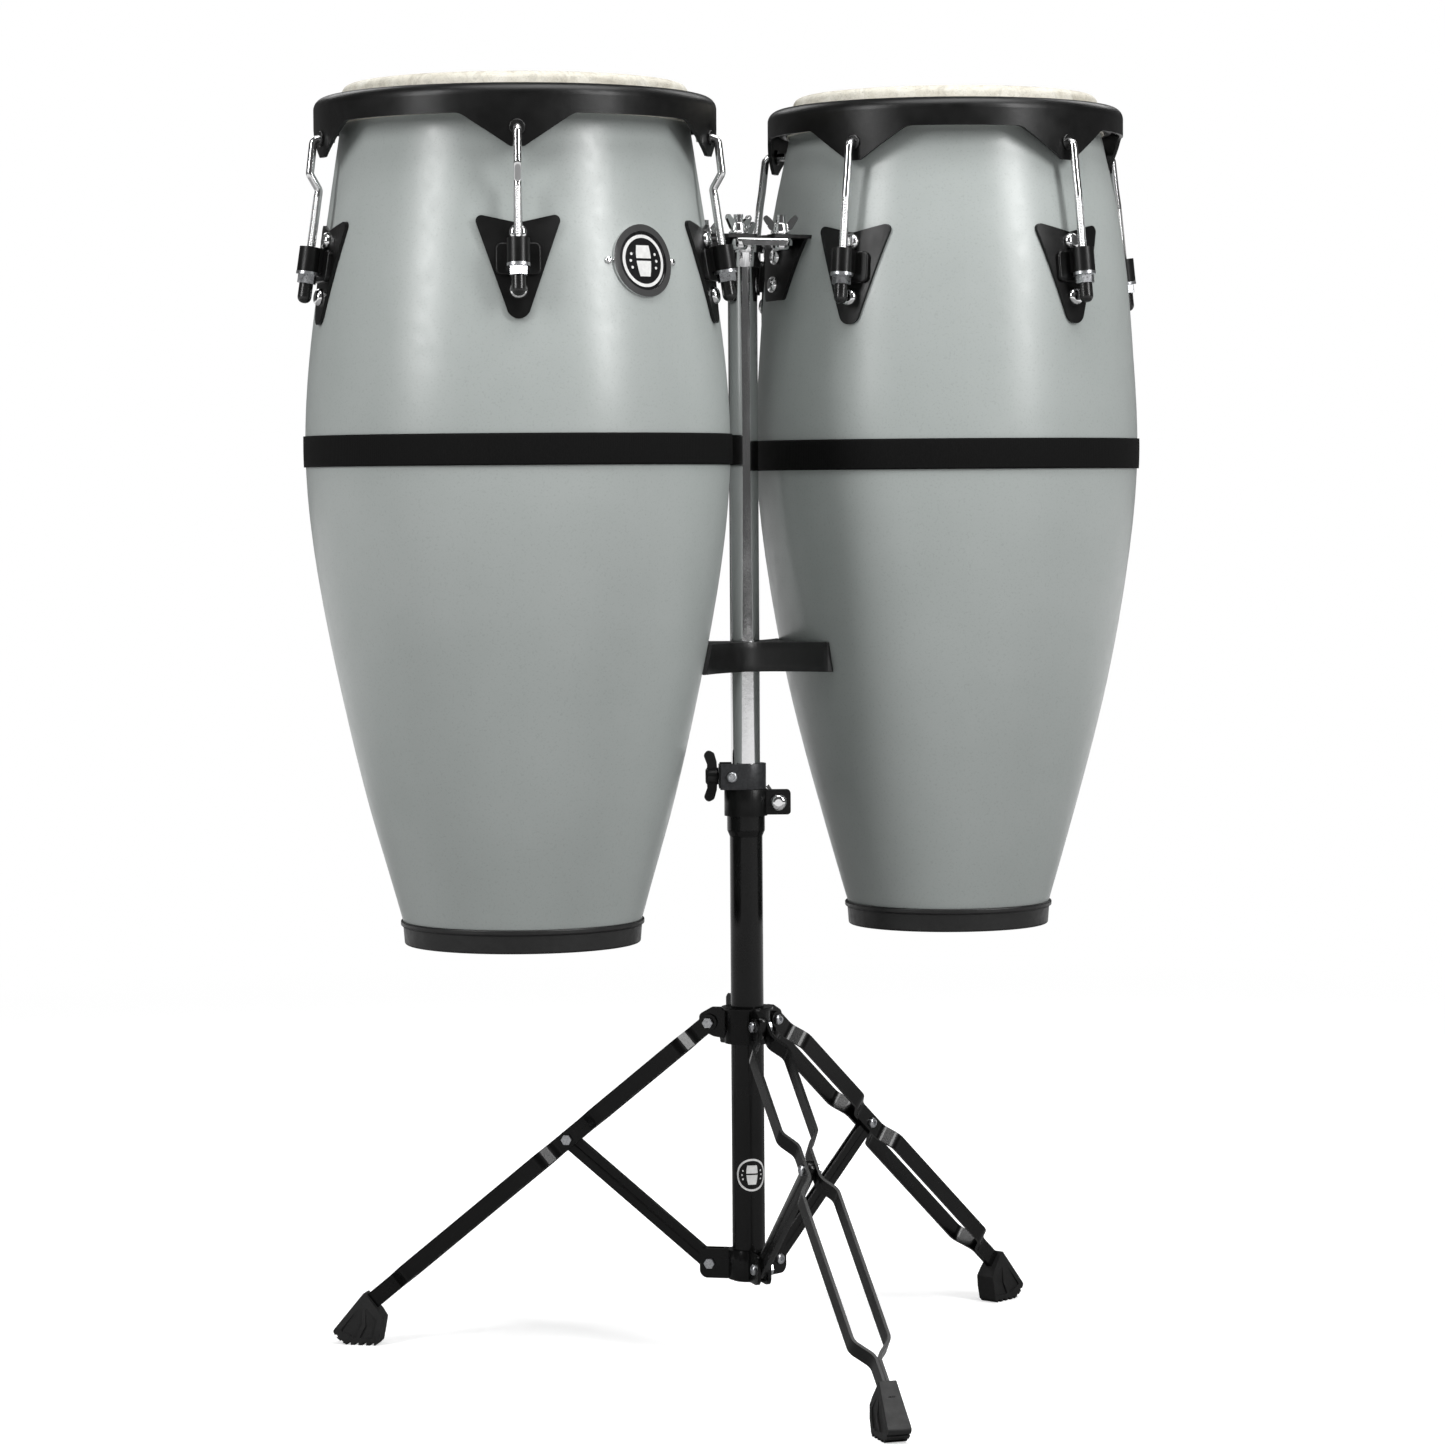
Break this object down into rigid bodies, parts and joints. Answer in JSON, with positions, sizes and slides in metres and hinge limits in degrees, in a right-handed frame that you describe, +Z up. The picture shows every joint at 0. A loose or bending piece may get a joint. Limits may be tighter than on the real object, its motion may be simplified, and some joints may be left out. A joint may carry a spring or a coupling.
{
  "type": "conga drum pair on a double stand",
  "caption": "Tall barrel-shaped hand drums with hide heads, hung side by side on a folding double-braced tripod stand.",
  "frame": {"origin": "on the floor, in the middle of the set's outline from above; the stand's tube stands 9.5 mm to +X and 39.6 mm to +Y of it", "axes": "+Z up; +X towards the smaller drum, which stands 20 degrees behind it; the front leg points towards -Y and the player stands at +Y"},
  "size_m": [0.7148, 0.6314, 1.077],
  "materials": {
    "shell_paint": "satin grey paint over wooden staves",
    "rawhide": "dry mottled hide",
    "black_steel": "satin powder coat",
    "black_gloss": "gloss paint",
    "charcoal_metal": "matt coated pressing",
    "chrome": "polished",
    "zinc": "bright zinc plate",
    "black_rubber": "satin moulded",
    "webbing": "ribbed woven band",
    "black_plastic": "fine moulded texture",
    "nylon": "smooth",
    "badge_black": "gloss enamel"
  },
  "bodies": {
    "base": {"base_tube": "black_gloss", "tube_bushing": "nylon", "tube_clamp": "black_steel", "tube_clamp_bolt": "chrome", "lower_collar": "black_gloss", "lower_pivots": "zinc"},
    "clamp_wing": {"tube_clamp_wing": "chrome"},
    "stop_collar": {"stop_collar": "charcoal_metal", "stop_collar_block": "charcoal_metal", "stop_collar_screws": "zinc"},
    "stop_wing": {"stop_collar_wing": "black_plastic"},
    "riser": {"riser_tube": "chrome", "top_plate": "chrome", "mount_bolts": "chrome", "cradle_yoke": "black_plastic", "cradle_pads": "black_rubber"},
    "large_drum": {"large_shell": "shell_paint", "large_head": "rawhide", "large_flesh_hoop": "black_steel", "large_rim": "black_steel", "large_hook_grommets": "black_rubber", "large_tuning_hooks": "chrome", "large_tuning_nuts": "zinc", "large_hook_caps": "black_rubber", "large_lugs": "black_steel", "large_shell_bolts": "chrome", "large_belly_band": "webbing", "large_bumper": "black_rubber", "large_mount_bracket": "black_steel", "large_badge_bezel": "chrome", "large_badge_face": "badge_black"},
    "small_drum": {"small_shell": "shell_paint", "small_head": "rawhide", "small_flesh_hoop": "black_steel", "small_rim": "black_steel", "small_hook_grommets": "black_rubber", "small_tuning_hooks": "chrome", "small_tuning_nuts": "zinc", "small_hook_caps": "black_rubber", "small_lugs": "black_steel", "small_shell_bolts": "chrome", "small_belly_band": "webbing", "small_bumper": "black_rubber", "small_mount_bracket": "black_steel"},
    "leg_collar": {"leg_collar": "black_gloss", "collar_pivots": "zinc"},
    "collar_wing": {"leg_collar_wing": "black_plastic"},
    "nut_large_front": {"wing_nut_large_front": "chrome"},
    "nut_large_rear": {"wing_nut_large_rear": "chrome"},
    "nut_small_front": {"wing_nut_small_front": "chrome"},
    "nut_small_rear": {"wing_nut_small_rear": "chrome"},
    "leg_left": {"leg_left": "black_gloss", "foot_left": "black_rubber"},
    "brace_left": {"brace_left": "black_gloss"},
    "leg_right": {"leg_right": "black_gloss", "foot_right": "black_rubber"},
    "brace_right": {"brace_right": "black_gloss"},
    "leg_front": {"leg_front": "black_gloss", "foot_front": "black_rubber"},
    "brace_front": {"brace_front": "black_gloss"}
  },
  "joints": [
    {"name": "riser_swivel", "type": "hinge", "parent": "base", "child": "stop_collar", "pos_m": [0.0095, 0.0396, 0.488], "axis": [0, 0, 1], "range_deg": [-90, 110]},
    {"name": "height_slide", "type": "slide", "parent": "stop_collar", "child": "riser", "axis": [0, 0, 1], "range_m": [-0.06, 0.09]},
    {"name": "large_drum_slide", "type": "slide", "parent": "riser", "child": "large_drum", "axis": [-0.9397, -0.342, 0], "range_m": [0, 0.03]},
    {"name": "small_drum_slide", "type": "slide", "parent": "riser", "child": "small_drum", "axis": [0.9397, 0.342, 0], "range_m": [0, 0.03]},
    {"name": "wing_nut_large_front_spin", "type": "hinge", "parent": "riser", "child": "nut_large_front", "pos_m": [0.00543, -0.00477, 0.96], "axis": [0, 0, 1], "continuous": true},
    {"name": "wing_nut_large_rear_spin", "type": "hinge", "parent": "riser", "child": "nut_large_rear", "pos_m": [-0.02214, 0.07097, 0.96], "axis": [0, 0, 1], "continuous": true},
    {"name": "wing_nut_small_front_spin", "type": "hinge", "parent": "riser", "child": "nut_small_front", "pos_m": [0.04114, 0.00823, 0.96], "axis": [0, 0, 1], "continuous": true},
    {"name": "wing_nut_small_rear_spin", "type": "hinge", "parent": "riser", "child": "nut_small_rear", "pos_m": [0.01357, 0.08397, 0.96], "axis": [0, 0, 1], "continuous": true},
    {"name": "stop_wing_spin", "type": "hinge", "parent": "stop_collar", "child": "stop_wing", "pos_m": [-0.0138, 0.0396, 0.49915], "axis": [-1, 0, 0], "continuous": true},
    {"name": "clamp_wing_spin", "type": "hinge", "parent": "base", "child": "clamp_wing", "pos_m": [0.037, 0.0599, 0.47675], "axis": [0, 1, 0], "continuous": true},
    {"name": "collar_wing_spin", "type": "hinge", "parent": "leg_collar", "child": "collar_wing", "pos_m": [-0.00246, 0.06525, 0.288], "axis": [-0.4226, 0.9063, 0], "continuous": true},
    {"name": "brace_left_fold", "type": "hinge", "parent": "base", "child": "brace_left", "pos_m": [-0.02265, 0.04702, 0.081], "axis": [0.225, 0.9744, 0], "range_deg": [0, 45.38]},
    {"name": "leg_left_fold", "type": "hinge", "parent": "brace_left", "child": "leg_left", "pos_m": [-0.14445, 0.07514, 0.1845], "axis": [-0.225, -0.9744, 0], "range_deg": [0, 90.76]},
    {"name": "brace_right_fold", "type": "hinge", "parent": "base", "child": "brace_right", "pos_m": [0.03201, 0.06373, 0.081], "axis": [0.7314, -0.682, 0], "range_deg": [0, 45.38]},
    {"name": "leg_right_fold", "type": "hinge", "parent": "brace_right", "child": "leg_right", "pos_m": [0.11726, 0.15515, 0.1845], "axis": [-0.7314, 0.682, 0], "range_deg": [0, 90.76]},
    {"name": "brace_front_fold", "type": "hinge", "parent": "base", "child": "brace_front", "pos_m": [0.01915, 0.00804, 0.081], "axis": [-0.9563, -0.2924, 0], "range_deg": [0, 45.38]},
    {"name": "leg_front_fold", "type": "hinge", "parent": "brace_front", "child": "leg_front", "pos_m": [0.0557, -0.1115, 0.1845], "axis": [0.9563, 0.2924, 0], "range_deg": [0, 90.76]},
    {"name": "collar_fold", "type": "hinge", "parent": "leg_left", "child": "leg_collar", "pos_m": [-0.02265, 0.04702, 0.288], "axis": [0.225, 0.9744, 0], "range_deg": [0, 45.38]}
  ],
  "couplings": [
    {"joint": "leg_left_fold", "follows": "brace_left_fold", "ratio": 2},
    {"joint": "brace_right_fold", "follows": "brace_left_fold", "ratio": 1},
    {"joint": "leg_right_fold", "follows": "brace_left_fold", "ratio": 2},
    {"joint": "brace_front_fold", "follows": "brace_left_fold", "ratio": 1},
    {"joint": "leg_front_fold", "follows": "brace_left_fold", "ratio": 2},
    {"joint": "collar_fold", "follows": "brace_left_fold", "ratio": 1}
  ]
}
